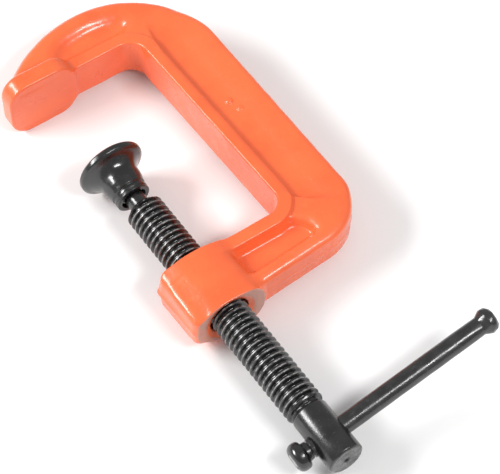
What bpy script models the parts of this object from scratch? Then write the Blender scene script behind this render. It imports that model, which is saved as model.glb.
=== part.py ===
"""Two-inch C clamp with a swivel pad and a sliding tommy bar.

Metres.  The clamp lies on its side: +Y runs along the screw towards the anvil, +X from the screw
to the spine and +Z up, square to the frame's plane.  The origin is the centre of the anvil's
clamping face, on the screw axis.
"""

import math

import bmesh
import bpy
from mathutils import Matrix, Vector

MM = 0.001
FIT_GAP = 0.3 * MM              # between pieces that rest on each other or share a press fit
OVERRUN = 1.0 * MM              # how far a cutter or a joined body reaches past the surface it meets

# Frame: the C in the XY plane
JAW_OPENING = 65.2 * MM         # anvil face to the boss
THROAT_DEPTH = 26.8 * MM        # screw axis to the spine, halfway down
SPINE_LEAN = math.radians(1.4)  # the spine's inner face spreads towards the boss
SPINE_DEPTH = 17.0 * MM
ARM_DEPTH = 14.6 * MM
JAW_HEIGHT = 16.9 * MM          # anvil face to the crown of the upper jaw
CROWN_X = 18.8 * MM             # where the crown is, measured from the screw axis
CROWN_RADIUS = 39.8 * MM
SHOULDER_RADIUS = 21.6 * MM
HEEL_RADIUS = 14.0 * MM
INNER_TOP_RADIUS = 4.6 * MM
INNER_LOW_RADIUS = 5.0 * MM
RIM_THICKNESS = 11.6 * MM
INNER_EDGE_ROUND = 0.7 * MM
OUTER_EDGE_ROUND = 2.4 * MM
ARC_STEP = math.radians(9)

# Recessed panels between the rims, the same on both sides
WEB_THICKNESS = 4.6 * MM
INNER_RIM = 2.7 * MM
JAW_INNER_RIM = 3.4 * MM
OUTER_RIM = 4.5 * MM
JAW_OUTER_RIM = 6.2 * MM
ARM_INNER_RIM = 3.3 * MM
ARM_OUTER_RIM = 4.0 * MM
RIB_WIDTH = 4.4 * MM            # diagonal ribs between neighbouring panels
PANEL_DRAFT = 1.2 * MM          # how far a panel's wall slopes in from rim to web
PANEL_CORNER = 1.8 * MM
JAW_PANEL_START = 8.6 * MM      # from the screw axis
ARM_PANEL_GAP = 1.2 * MM        # from the boss to the arm's panel

# Anvil pad at the end of the upper jaw
ANVIL_TIP = 11.5 * MM           # how far it reaches past the screw axis
JAW_TIP_INSET = 2.0 * MM        # how far the jaw itself stops short of the anvil's tip
ANVIL_ROOT = 7.0 * MM           # how far it reaches towards the spine
ANVIL_WIDTH = 16.4 * MM
ANVIL_BLOCK = 5.2 * MM
ANVIL_PROUD = 0.5 * MM
ANVIL_CORNER = 5.4 * MM
ANVIL_EDGE_ROUND = 0.8 * MM

# Threaded boss on the lower arm
BOSS_RADIUS_TOP = 9.9 * MM
BOSS_RADIUS_LOW = 9.5 * MM
BOSS_LENGTH = 15.8 * MM
BOSS_WIDTH = 16.4 * MM          # the two flats that square the boss off across the frame
COUNTERBORE_CLEARANCE = 1.3 * MM    # thread crest to the counterbore
COUNTERBORE_DEPTH = 1.6 * MM

# Screw spindle
THREAD_RADIUS = 5.0 * MM
THREAD_PITCH = 1.7 * MM
THREAD_DEPTH = 0.85 * MM
THREAD_LENGTH = 70.2 * MM
THREAD_SIDES = 16
THREAD_FORM = ((0.0, 0.0), (0.36, 1.0), (0.64, 1.0))    # share of the pitch, share of the depth
THREAD_END_CHAMFER = 0.2 * MM
BORE_CLEARANCE = 0.4 * MM       # thread crest to the bore
HEAD_RADIUS = 4.63 * MM
HEAD_LENGTH = 15.0 * MM
HEAD_CHAMFER = 0.5 * MM
CENTRE_MARK_RADIUS = 1.0 * MM
CENTRE_MARK_DEPTH = 0.7 * MM
NECK_RADIUS = 2.6 * MM
NECK_LENGTH = 4.2 * MM          # from the pad's skirt to the first thread
BALL_RADIUS = 3.5 * MM
BALL_STEPS = 8
BAR_HOLE_FROM_END = 7.5 * MM

# Swivel pad
PAD_TO_ANVIL = 27.0 * MM        # how far the jaws stand open as the clamp is drawn
PAD_RADIUS = 8.9 * MM
PAD_RIM = 2.1 * MM
PAD_EDGE_ROUND = 0.4 * MM
PAD_RIM_STEP = 0.7 * MM         # from the rim in to where the flare starts
FLARE_BEND = 2.2                # how quickly the flare narrows to the waist
FLARE_STEPS = 5
PAD_WAIST_WALL = 1.5 * MM       # metal round the ball's seat, at the waist
PAD_COLLAR_WALL = 0.7 * MM      # and at the collar
PAD_COLLAR_HEIGHT = 2.1 * MM    # the skirt's end to the groove
PAD_GROOVE = 0.3 * MM
PAD_CEILING = 3.1 * MM          # solid metal between the clamping face and the ball's seat
PAD_LIP = 1.1 * MM              # crimped lip that closes the skirt
PAD_MOUTH_CLEARANCE = 0.75 * MM  # neck to lip, room for the pad to tilt
SEAT_CLEARANCE = 0.4 * MM       # ball to the wall of its seat
DOME_STEPS = 4

# Spring ring that keeps the ball in the pad
RING_THICKNESS = 0.9 * MM
RING_OUTER_CLEARANCE = 0.45 * MM
RING_PLAY = 0.44 * MM           # ring to the crimped lip
RING_SLOT = math.radians(24)

# Tommy bar
BAR_RADIUS = 2.25 * MM
BAR_TILT = math.radians(11.1)   # the bar's long end stands up from the frame's plane
BAR_LONG_END = 47.7 * MM        # from the screw axis
BAR_HOLE_CLEARANCE = 0.3 * MM
UPSET_RADIUS = 2.85 * MM
UPSET_LENGTH = 3.9 * MM
UPSET_EDGE = 0.6 * MM
KNOB_RADIUS = 3.6 * MM
KNOB_LENGTH = 5.4 * MM
KNOB_HEAD_LENGTH = 4.2 * MM
KNOB_FLAT_RADIUS = 2.3 * MM
KNOB_CROWN = 1.5 * MM           # height of the knob's rounded end
KNOB_UNDERCUT = 1.5 * MM        # slope from the head back to the bar
KNOB_STEPS = 3
KNOB_GAP = 0.35 * MM            # knob to the spindle head
SPIGOT_RADIUS = 1.75 * MM

ROUND_SIDES = 32

# Places that follow from the sizes
BOSS_TOP = -JAW_OPENING
BOSS_LOW = BOSS_TOP - BOSS_LENGTH
JAW_Y = ANVIL_PROUD
ARM_OUTER_Y = BOSS_TOP - ARM_DEPTH
SPINE_MID_Y = -JAW_OPENING / 2
SPINE_OUTER_X = THROAT_DEPTH + SPINE_DEPTH
COUNTERBORE_RADIUS = THREAD_RADIUS + COUNTERBORE_CLEARANCE
SEAT_RADIUS = BALL_RADIUS + SEAT_CLEARANCE
MOUTH_RADIUS = NECK_RADIUS + PAD_MOUTH_CLEARANCE
PAD_WAIST_RADIUS = SEAT_RADIUS + PAD_WAIST_WALL
PAD_COLLAR_RADIUS = SEAT_RADIUS + PAD_COLLAR_WALL
RING_INNER = NECK_RADIUS + FIT_GAP
RING_DROP = math.sqrt((BALL_RADIUS + FIT_GAP) ** 2 - RING_INNER ** 2)
PAD_FACE = -PAD_TO_ANVIL
BALL_Y = PAD_FACE - PAD_CEILING - FIT_GAP - BALL_RADIUS
RING_TOP = BALL_Y - RING_DROP
PAD_SKIRT = RING_TOP - RING_THICKNESS - RING_PLAY - PAD_LIP
THREAD_ROOT = THREAD_RADIUS - THREAD_DEPTH
THREAD_TOP = PAD_SKIRT - NECK_LENGTH
THREAD_LOW = THREAD_TOP - THREAD_LENGTH
HEAD_LOW = THREAD_LOW - HEAD_LENGTH
BAR_Y = HEAD_LOW + BAR_HOLE_FROM_END


# ---------------------------------------------------------------- outlines

def arc(centre, radius, start, end):
    """Points on an arc, both ends included; angles in radians."""
    count = max(2, math.ceil(abs(end - start) / ARC_STEP))
    points = []
    for step in range(count + 1):
        angle = start + (end - start) * step / count
        points.append(Vector((centre[0] + radius * math.cos(angle), centre[1] + radius * math.sin(angle))))
    return points


def rounded(corners, radii):
    """A closed outline through the corners, each one replaced by an arc of its radius."""
    points = []
    total = len(corners)
    for index in range(total):
        corner = Vector(corners[index])
        to_last = (Vector(corners[index - 1]) - corner).normalized()
        to_next = (Vector(corners[(index + 1) % total]) - corner).normalized()
        half = to_last.angle(to_next) / 2
        radius = radii[index]
        centre = corner + (to_last + to_next).normalized() * (radius / math.sin(half))
        first = corner + to_last * (radius / math.tan(half)) - centre
        last = corner + to_next * (radius / math.tan(half)) - centre
        start = math.atan2(first.y, first.x)
        sweep = math.atan2(first.x * last.y - first.y * last.x, first.dot(last))
        points += arc(centre, radius, start, start + sweep)
    return points


def inset(outline, distance):
    """The closed counter-clockwise outline moved inwards by a distance."""
    points = []
    total = len(outline)
    for index in range(total):
        back = (outline[index] - outline[index - 1]).normalized()
        ahead = (outline[(index + 1) % total] - outline[index]).normalized()
        normal = Vector((-back.y - ahead.y, back.x + ahead.x)).normalized()
        stretch = normal.dot(Vector((-back.y, back.x)))
        points.append(outline[index] + normal * (distance / max(stretch, 0.5)))
    return points


def spine_inner_x(y):
    """The leaning inner face of the spine at a height along the screw axis."""
    return THROAT_DEPTH - (y - SPINE_MID_Y) * math.tan(SPINE_LEAN)


def crown_centre():
    return Vector((CROWN_X, JAW_HEIGHT - CROWN_RADIUS))


def shoulder_centre():
    """Centre of the shoulder's arc, which touches both the crown's arc and the spine."""
    x = SPINE_OUTER_X - SHOULDER_RADIUS
    reach = CROWN_RADIUS - SHOULDER_RADIUS
    crown = crown_centre()
    return Vector((x, crown.y + math.sqrt(reach ** 2 - (x - crown.x) ** 2)))


def crown_y(x, depth):
    """Height of the crown's arc at x, a given depth inside the outline."""
    crown = crown_centre()
    return crown.y + math.sqrt((CROWN_RADIUS - depth) ** 2 - (x - crown.x) ** 2)


def outer_outline():
    """The outer edge of the C, from the boss round the heel, spine and crown to the anvil's tip."""
    heel = Vector((SPINE_OUTER_X - HEEL_RADIUS, ARM_OUTER_Y + HEEL_RADIUS))
    shoulder = shoulder_centre()
    crown = crown_centre()
    join = math.atan2(shoulder.y - crown.y, shoulder.x - crown.x)
    tip_x = JAW_TIP_INSET - ANVIL_TIP
    tip_angle = math.pi - math.acos((crown.x - tip_x) / CROWN_RADIUS)
    points = [Vector((0, ARM_OUTER_Y))]
    points += arc(heel, HEEL_RADIUS, -math.pi / 2, 0)
    points += arc(shoulder, SHOULDER_RADIUS, 0, join)
    points += arc(crown, CROWN_RADIUS, join, tip_angle)[1:]
    return points


def inner_outline():
    """The inner edge of the C, from the anvil round the throat to the boss."""
    tip = Vector((JAW_TIP_INSET - ANVIL_TIP, JAW_Y))
    top = Vector((spine_inner_x(JAW_Y), JAW_Y))
    low = Vector((spine_inner_x(BOSS_TOP), BOSS_TOP))
    end = Vector((0, BOSS_TOP))
    bent = rounded([tip, top, low, end], [FIT_GAP, INNER_TOP_RADIUS, INNER_LOW_RADIUS, FIT_GAP])
    return [tip] + [point for point in bent if point.x > THROAT_DEPTH / 3] + [end]


# ---------------------------------------------------------------- meshes

def new_object(name, bm, smooth_angle=math.radians(35)):
    """An object from a finished bmesh, with its faces pointing out."""
    bmesh.ops.recalc_face_normals(bm, faces=bm.faces)
    mesh = bpy.data.meshes.new(name)
    bm.to_mesh(mesh)
    bm.free()
    mesh.shade_smooth()
    mesh.set_sharp_from_angle(angle=smooth_angle)
    item = bpy.data.objects.new(name, mesh)
    bpy.context.collection.objects.link(item)
    return item


def lofted(name, loops):
    """A closed body through loops of points that all have the same count, capped at both ends."""
    bm = bmesh.new()
    rows = [[bm.verts.new(point) for point in loop] for loop in loops]
    count = len(rows[0])
    for low, high in zip(rows, rows[1:]):
        for index in range(count):
            after = (index + 1) % count
            bm.faces.new((low[index], low[after], high[after], high[index]))
    bm.faces.new(reversed(rows[0]))
    bm.faces.new(rows[-1])
    return new_object(name, bm)


def flat_prism(name, outline, low, high):
    """An outline in the XY plane, extruded along Z."""
    loops = [[Vector((point.x, point.y, z)) for point in outline] for z in (low, high)]
    return lofted(name, loops)


def turned(name, profile, closed=False, sweep=math.tau, sides=ROUND_SIDES):
    """A profile of (radius, y) points spun about the Y axis."""
    bm = bmesh.new()
    verts = [bm.verts.new((radius, y, 0)) for radius, y in profile]
    edges = [bm.edges.new(pair) for pair in zip(verts, verts[1:])]
    if closed:
        edges.append(bm.edges.new((verts[-1], verts[0])))
    whole = abs(sweep - math.tau) < 1e-6
    bmesh.ops.spin(bm, geom=verts + edges, cent=(0, 0, 0), axis=(0, 1, 0), dvec=(0, 0, 0),
                   angle=sweep, steps=sides, use_merge=whole)
    bmesh.ops.remove_doubles(bm, verts=bm.verts, dist=0.001 * MM)
    if not whole:
        bmesh.ops.holes_fill(bm, edges=[edge for edge in bm.edges if edge.is_boundary])
    return new_object(name, bm)


def thread_radius(place, turns, height):
    """Radius of the thread at a place counted in turns, chamfered at both ends of the rod."""
    from_end = min(place, turns - place) * THREAD_PITCH
    return THREAD_ROOT + min(THREAD_DEPTH * height, max(from_end, 0.0))


def round_about(radius, angle, y):
    """A point on a circle round the screw axis, its angle counted from +Z towards +X."""
    return Vector((radius * math.sin(angle), y, radius * math.cos(angle)))


def threaded_rod(name, top, low):
    """A right-hand threaded rod along Y, with a blunt start at each end."""
    turns = int((top - low) / THREAD_PITCH - 1.2)
    start = (top + low - (turns + 1) * THREAD_PITCH) / 2
    bm = bmesh.new()
    rows, low_ring, top_ring = [], [], []
    for side in range(THREAD_SIDES):
        share = side / THREAD_SIDES
        angle = math.tau * share
        row = []
        for turn in range(turns):
            for phase, height in THREAD_FORM:
                place = turn + phase + share
                radius = thread_radius(place, turns + 1, height)
                row.append(bm.verts.new(round_about(radius, angle, start + place * THREAD_PITCH)))
        rows.append(row)
        low_ring.append(bm.verts.new(round_about(THREAD_ROOT - THREAD_END_CHAMFER, angle, low)))
        top_ring.append(bm.verts.new(round_about(THREAD_ROOT - THREAD_END_CHAMFER, angle, top)))
    for side in range(THREAD_SIDES - 1):
        here, there = rows[side], rows[side + 1]
        for step in range(len(here) - 1):
            bm.faces.new((here[step], here[step + 1], there[step + 1], there[step]))
        bm.faces.new((low_ring[side], here[0], there[0], low_ring[side + 1]))
        bm.faces.new((top_ring[side], top_ring[side + 1], there[-1], here[-1]))
    close_thread_seam(bm, rows[-1], rows[0], low_ring, top_ring)
    bm.faces.new(low_ring)
    bm.faces.new(reversed(top_ring))
    return new_object(name, bm)


def close_thread_seam(bm, last, first, low_ring, top_ring):
    """Join the last column of the thread to the first one, a whole turn further up."""
    turn = len(THREAD_FORM)
    for step in range(len(last) - turn - 1):
        bm.faces.new((last[step], last[step + 1], first[step + turn + 1], first[step + turn]))
    bm.faces.new(first[turn::-1])
    bm.faces.new((low_ring[-1], last[0], first[turn]))
    bm.faces.new((low_ring[-1], first[turn], first[0]))
    bm.faces.new((low_ring[-1], first[0], low_ring[0]))
    for step in range(len(last) - turn - 1, len(last) - 1):
        bm.faces.new((first[-1], last[step], last[step + 1]))
    bm.faces.new((top_ring[0], first[-1], last[-1], top_ring[-1]))


def combine(target, tool, operation):
    """Join or cut with an exact boolean, then drop the tool."""
    modifier = target.modifiers.new(tool.name, "BOOLEAN")
    modifier.operation = operation
    modifier.solver = "EXACT"
    modifier.object = tool
    bpy.context.view_layer.update()
    graph = bpy.context.evaluated_depsgraph_get()
    mesh = bpy.data.meshes.new_from_object(target.evaluated_get(graph))
    target.modifiers.clear()
    old = target.data
    target.data = mesh
    bpy.data.meshes.remove(old)
    bpy.data.objects.remove(tool)
    return target


def tidy(item):
    """Weld the slivers that the booleans leave and set the smooth shading again."""
    bm = bmesh.new()
    bm.from_mesh(item.data)
    bmesh.ops.remove_doubles(bm, verts=bm.verts, dist=0.01 * MM)
    bmesh.ops.dissolve_degenerate(bm, edges=bm.edges, dist=0.005 * MM)
    bm.to_mesh(item.data)
    bm.free()
    item.data.shade_smooth()
    item.data.set_sharp_from_angle(angle=math.radians(35))
    return item


def finish(item, name, coat, parent=None):
    """Name an object, give it its material and hang it on its joint's empty."""
    item.name = name
    item.data.name = name
    item.data.materials.clear()
    item.data.materials.append(coat)
    if parent is not None:
        item.parent = parent
        item.matrix_parent_inverse = parent.matrix_world.inverted()
    return item


def material(name, colour, metallic, roughness):
    coat = bpy.data.materials.new(name)
    coat.use_nodes = True
    shader = coat.node_tree.nodes["Principled BSDF"]
    shader.inputs["Base Color"].default_value = (*colour, 1.0)
    shader.inputs["Metallic"].default_value = metallic
    shader.inputs["Roughness"].default_value = roughness
    return coat


# ---------------------------------------------------------------- the cast frame

def frame_plate():
    """The C itself at rim thickness, its outer edge rounded more than its inner one."""
    outer = outer_outline()
    inner = inner_outline()
    bm = bmesh.new()
    half = RIM_THICKNESS / 2
    low = [bm.verts.new((point.x, point.y, -half)) for point in outer + inner]
    bm.faces.new(low)
    lifted = bmesh.ops.extrude_face_region(bm, geom=list(bm.faces))
    verts = [item for item in lifted["geom"] if isinstance(item, bmesh.types.BMVert)]
    bmesh.ops.translate(bm, verts=verts, vec=(0, 0, RIM_THICKNESS))
    bmesh.ops.recalc_face_normals(bm, faces=bm.faces)
    outer_keys = {(round(point.x, 6), round(point.y, 6)) for point in outer}
    inner_keys = {(round(point.x, 6), round(point.y, 6)) for point in inner}
    for keys, width, segments in ((outer_keys, OUTER_EDGE_ROUND, 3), (inner_keys, INNER_EDGE_ROUND, 2)):
        edges = []
        for edge in bm.edges:
            flat = abs(edge.verts[0].co.z - edge.verts[1].co.z) < 1e-6
            places = [(round(vert.co.x, 6), round(vert.co.y, 6)) for vert in edge.verts]
            if flat and all(place in keys for place in places):
                edges.append(edge)
        bmesh.ops.bevel(bm, geom=edges, offset=width, segments=segments, profile=0.5,
                        affect="EDGES", clamp_overlap=True)
    return new_object("frame_plate", bm)


def anvil_block():
    """The wide pad at the end of the upper jaw, seen square on as a rounded rectangle."""
    half = ANVIL_WIDTH / 2
    corners = [(-ANVIL_TIP, -half), (ANVIL_ROOT, -half), (ANVIL_ROOT, half), (-ANVIL_TIP, half)]
    outline = rounded(corners, [ANVIL_CORNER] * 4)
    small = inset(outline, ANVIL_EDGE_ROUND)
    levels = ((small, 0.0), (outline, ANVIL_EDGE_ROUND), (outline, ANVIL_BLOCK - ANVIL_EDGE_ROUND),
              (small, ANVIL_BLOCK))
    loops = [[Vector((point.x, y, point.y)) for point in shape] for shape, y in levels]
    return lofted("anvil_block", loops)


def boss_body():
    """The slightly tapered boss, squared off across the frame by two flats."""
    body = turned("boss_body", [(0, BOSS_TOP), (BOSS_RADIUS_TOP, BOSS_TOP), (BOSS_RADIUS_LOW, BOSS_LOW),
                                (0, BOSS_LOW)], sides=48)
    reach = BOSS_RADIUS_TOP * 2
    square = [Vector(place) for place in ((-reach, BOSS_LOW - reach), (reach, BOSS_LOW - reach),
                                          (reach, BOSS_TOP + reach), (-reach, BOSS_TOP + reach))]
    between = flat_prism("boss_flats", square, -BOSS_WIDTH / 2, BOSS_WIDTH / 2)
    return combine(body, between, "INTERSECT")


def jaw_panel():
    """Corners and their radii for the panel in the upper jaw, under the crown."""
    start = JAW_PANEL_START
    end = spine_inner_x(JAW_Y) + INNER_RIM / 2
    floor = JAW_Y + JAW_INNER_RIM
    high = end - RIB_WIDTH
    corners = [(start, floor), (end, floor), (high, crown_y(high, JAW_OUTER_RIM)),
               (CROWN_X - RIB_WIDTH, crown_y(CROWN_X, JAW_OUTER_RIM)),
               (start, crown_y(start, JAW_OUTER_RIM))]
    return corners, [PANEL_CORNER, PANEL_CORNER, PANEL_CORNER * 1.4, SHOULDER_RADIUS, PANEL_CORNER]


def spine_panel():
    """Corners and their radii for the long panel in the spine."""
    head = spine_inner_x(JAW_Y) + INNER_RIM
    foot = spine_inner_x(BOSS_TOP) + INNER_RIM
    edge = SPINE_OUTER_X - OUTER_RIM
    low = BOSS_TOP + RIB_WIDTH / 4
    corners = [(foot, low), (edge, low - RIB_WIDTH), (edge, JAW_Y - RIB_WIDTH / 2),
               (edge - RIB_WIDTH, JAW_Y + RIB_WIDTH), (head + RIB_WIDTH / 2, JAW_Y + RIB_WIDTH),
               (head, JAW_Y - RIB_WIDTH)]
    wide = PANEL_CORNER * 1.6
    return corners, [PANEL_CORNER, PANEL_CORNER, wide, PANEL_CORNER, PANEL_CORNER, wide]


def arm_panel():
    """Corners and their radii for the panel in the lower arm, beside the boss."""
    start = BOSS_RADIUS_TOP + ARM_PANEL_GAP
    foot = spine_inner_x(BOSS_TOP) + INNER_RIM
    top = BOSS_TOP - ARM_INNER_RIM
    low = ARM_OUTER_Y + ARM_OUTER_RIM
    corners = [(start, low), (foot + RIB_WIDTH / 4, low), (foot - RIB_WIDTH, top), (start, top)]
    return corners, [PANEL_CORNER, PANEL_CORNER, PANEL_CORNER * 1.4, PANEL_CORNER]


def cut_panels(body):
    """Sink each panel into both sides, with sloping walls."""
    web = WEB_THICKNESS / 2
    rim = RIM_THICKNESS / 2
    slope = PANEL_DRAFT / (rim - web)
    for corners, radii in (jaw_panel(), spine_panel(), arm_panel()):
        outline = rounded(corners, radii)
        floor = inset(outline, PANEL_DRAFT)
        above = inset(outline, -slope * OVERRUN)
        for side in (1, -1):
            levels = ((floor, web), (outline, rim), (above, rim + OVERRUN))
            loops = [[Vector((point.x, point.y, z * side)) for point in shape] for shape, z in levels]
            combine(body, lofted("panel", loops), "DIFFERENCE")


def make_frame(coat):
    body = frame_plate()
    combine(body, anvil_block(), "UNION")
    combine(body, boss_body(), "UNION")
    cut_panels(body)
    bore = THREAD_RADIUS + BORE_CLEARANCE
    step = BOSS_LOW + COUNTERBORE_DEPTH
    top, low = BOSS_TOP + OVERRUN, BOSS_LOW - OVERRUN
    drill = turned("bore", [(0, top), (bore, top), (bore, step), (COUNTERBORE_RADIUS, step),
                            (COUNTERBORE_RADIUS, low), (0, low)])
    combine(body, drill, "DIFFERENCE")
    return finish(tidy(body), "frame", coat)


# ---------------------------------------------------------------- screw, ring and pad

def make_spindle(coat, parent):
    """Threaded rod, neck and ball at one end and a cross-drilled head at the other."""
    body = threaded_rod("spindle", THREAD_TOP, THREAD_LOW)
    join = math.asin(NECK_RADIUS / BALL_RADIUS)
    ball = []
    for step in range(BALL_STEPS + 1):
        angle = (math.pi - join) * step / BALL_STEPS
        ball.append((BALL_RADIUS * math.sin(angle), BALL_Y + BALL_RADIUS * math.cos(angle)))
    neck_end = THREAD_TOP - OVERRUN
    combine(body, turned("ball", ball + [(NECK_RADIUS, neck_end), (0, neck_end)], sides=24), "UNION")
    head = [(0, THREAD_LOW + OVERRUN), (NECK_RADIUS, THREAD_LOW + OVERRUN),
            (HEAD_RADIUS, THREAD_LOW), (HEAD_RADIUS, HEAD_LOW + HEAD_CHAMFER),
            (HEAD_RADIUS - HEAD_CHAMFER, HEAD_LOW), (CENTRE_MARK_RADIUS, HEAD_LOW),
            (0, HEAD_LOW + CENTRE_MARK_DEPTH)]
    combine(body, turned("head", head), "UNION")
    reach = HEAD_RADIUS * 2
    wide = BAR_RADIUS + BAR_HOLE_CLEARANCE
    hole = turned("bar_hole", [(0, reach), (wide, reach), (wide, -reach), (0, -reach)], sides=24)
    hole.matrix_world = bar_matrix()
    combine(body, hole, "DIFFERENCE")
    return finish(tidy(body), "spindle", coat, parent)


def make_ring(coat, parent):
    """Split spring ring behind the ball."""
    outer = SEAT_RADIUS - RING_OUTER_CLEARANCE
    low = RING_TOP - RING_THICKNESS
    corners = [(RING_INNER, RING_TOP), (outer, RING_TOP), (outer, low), (RING_INNER, low)]
    ring = turned("ring", corners, closed=True, sweep=math.tau - RING_SLOT, sides=22)
    return finish(ring, "pad_retaining_ring", coat, parent)


def make_pad(coat, parent):
    """Bell-shaped pad: flat face, thick rim, flare, waist and a skirt crimped over the ball."""
    face, skirt = PAD_FACE, PAD_SKIRT
    edge = PAD_EDGE_ROUND
    profile = [(0, face), (PAD_RADIUS - edge, face), (PAD_RADIUS, face - edge),
               (PAD_RADIUS, face - PAD_RIM)]
    flare_start = face - PAD_RIM
    flare_end = skirt + PAD_COLLAR_HEIGHT + PAD_GROOVE * 3
    for step in range(1, FLARE_STEPS + 1):
        share = step / FLARE_STEPS
        bend = (1 - share) ** FLARE_BEND
        radius = PAD_WAIST_RADIUS + (PAD_RADIUS - PAD_RIM_STEP - PAD_WAIST_RADIUS) * bend
        profile.append((radius, flare_start + (flare_end - flare_start) * share))
    collar_top = skirt + PAD_COLLAR_HEIGHT
    profile += [(PAD_COLLAR_RADIUS, collar_top + PAD_GROOVE), (PAD_COLLAR_RADIUS - PAD_GROOVE, collar_top),
                (PAD_COLLAR_RADIUS, collar_top - PAD_GROOVE), (PAD_COLLAR_RADIUS, skirt + PAD_GROOVE),
                (PAD_COLLAR_RADIUS - PAD_GROOVE, skirt), (MOUTH_RADIUS, skirt),
                (MOUTH_RADIUS, skirt + PAD_LIP - PAD_GROOVE / 2), (SEAT_RADIUS, skirt + PAD_LIP)]
    roof = BALL_Y + BALL_RADIUS + FIT_GAP
    for step in range(DOME_STEPS):
        angle = math.pi / 2 * (1 - step / DOME_STEPS)
        profile.append((SEAT_RADIUS * math.sin(angle), BALL_Y + (roof - BALL_Y) * math.cos(angle)))
    pad = turned("pad", profile + [(0, roof)])
    return finish(pad, "swivel_pad", coat, parent)


# ---------------------------------------------------------------- tommy bar

def bar_matrix():
    """Puts a piece turned about its own Y on the bar's axis, +Y to the long end."""
    along = Vector((math.cos(BAR_TILT), 0, math.sin(BAR_TILT)))
    side = Vector((0, 1, 0))
    third = side.cross(along)
    turn = Matrix((third, along, side)).transposed().to_4x4()
    return Matrix.Translation((0, BAR_Y, 0)) @ turn


def knob_face():
    """Where the knob's inner end stands, beside the spindle head."""
    return -(HEAD_RADIUS + KNOB_GAP)


def make_bar(coat, parent):
    """Rod with an upset head at its long end and a spigot for the knob at the other."""
    end = BAR_LONG_END
    shoulder = knob_face()
    spigot = shoulder - KNOB_LENGTH
    upset = end - UPSET_LENGTH
    profile = [(0, end), (UPSET_RADIUS - UPSET_EDGE, end), (UPSET_RADIUS, end - UPSET_EDGE),
               (UPSET_RADIUS, end - UPSET_LENGTH / 2), (BAR_RADIUS, upset), (BAR_RADIUS, shoulder),
               (SPIGOT_RADIUS, shoulder), (SPIGOT_RADIUS, spigot), (0, spigot)]
    bar = turned("bar", profile, sides=24)
    bar.matrix_world = bar_matrix()
    return finish(bar, "tommy_bar", coat, parent)


def make_knob(coat, parent):
    """Mushroom knob pressed and riveted over the bar's spigot."""
    inner = knob_face() - FIT_GAP
    outer = knob_face() - KNOB_LENGTH
    hole = SPIGOT_RADIUS + FIT_GAP
    under = outer + KNOB_HEAD_LENGTH
    profile = [(hole, outer)]
    for step in range(KNOB_STEPS + 1):
        angle = math.pi / 2 * step / KNOB_STEPS
        profile.append((KNOB_FLAT_RADIUS + (KNOB_RADIUS - KNOB_FLAT_RADIUS) * math.sin(angle),
                        outer + KNOB_CROWN * (1 - math.cos(angle))))
    profile += [(KNOB_RADIUS, under - KNOB_UNDERCUT), (BAR_RADIUS, under), (BAR_RADIUS, inner), (hole, inner)]
    knob = turned("knob", profile, closed=True, sides=24)
    knob.matrix_world = bar_matrix()
    return finish(knob, "tommy_bar_knob", coat, parent)


# ---------------------------------------------------------------- assembly

def empty(name, place):
    item = bpy.data.objects.new(name, None)
    item.empty_display_size = 5 * MM
    item.location = place
    bpy.context.collection.objects.link(item)
    return item


def clear_scene():
    for item in list(bpy.data.objects):
        bpy.data.objects.remove(item)


def build():
    clear_scene()
    screw_joint = empty("screw_joint", (0, BALL_Y, 0))
    pad_joint = empty("pad_joint", (0, BALL_Y, 0))
    bar_joint = empty("bar_joint", (0, BAR_Y, 0))
    bpy.context.view_layer.update()
    paint = material("orange_enamel", (0.95, 0.17, 0.045), 0.0, 0.3)
    black = material("black_oxide", (0.02, 0.02, 0.021), 0.7, 0.35)
    bright = material("spring_steel", (0.35, 0.35, 0.36), 1.0, 0.3)
    make_frame(paint)
    make_spindle(black, screw_joint)
    make_ring(bright, screw_joint)
    make_pad(black, pad_joint)
    make_bar(black, bar_joint)
    make_knob(black, bar_joint)


build()
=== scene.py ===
"""Looks for the C clamp: detailed pieces, materials, floor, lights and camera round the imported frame.

Lengths below are in millimetres unless a name or comment says otherwise; meshes are scaled to metres
as they are made.  +Y runs along the screw towards the anvil, +X to the spine, +Z up.
"""
import math

import bmesh
import bpy
import numpy as np
from mathutils import Matrix, Vector


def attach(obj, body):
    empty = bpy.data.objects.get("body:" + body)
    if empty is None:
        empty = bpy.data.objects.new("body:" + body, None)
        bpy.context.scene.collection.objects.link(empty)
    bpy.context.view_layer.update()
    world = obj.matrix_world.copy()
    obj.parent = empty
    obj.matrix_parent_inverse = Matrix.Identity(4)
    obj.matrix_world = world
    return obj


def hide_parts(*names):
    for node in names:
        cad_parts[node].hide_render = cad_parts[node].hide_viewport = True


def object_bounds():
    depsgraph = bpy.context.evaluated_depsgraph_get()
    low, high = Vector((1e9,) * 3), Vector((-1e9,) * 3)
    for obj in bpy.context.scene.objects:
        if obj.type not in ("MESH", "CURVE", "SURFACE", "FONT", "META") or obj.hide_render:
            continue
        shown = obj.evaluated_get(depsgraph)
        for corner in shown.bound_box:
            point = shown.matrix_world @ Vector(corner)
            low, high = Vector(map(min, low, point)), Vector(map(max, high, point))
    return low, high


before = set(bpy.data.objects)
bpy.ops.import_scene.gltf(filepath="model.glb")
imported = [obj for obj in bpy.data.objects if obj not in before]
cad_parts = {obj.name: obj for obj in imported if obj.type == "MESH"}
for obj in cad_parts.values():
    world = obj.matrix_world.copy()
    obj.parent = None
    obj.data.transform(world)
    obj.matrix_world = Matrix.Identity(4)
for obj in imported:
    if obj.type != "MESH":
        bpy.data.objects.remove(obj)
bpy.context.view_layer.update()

MM = 0.001
SHARP = math.radians(40)         # edges that turn more than this are shaded sharp

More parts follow.
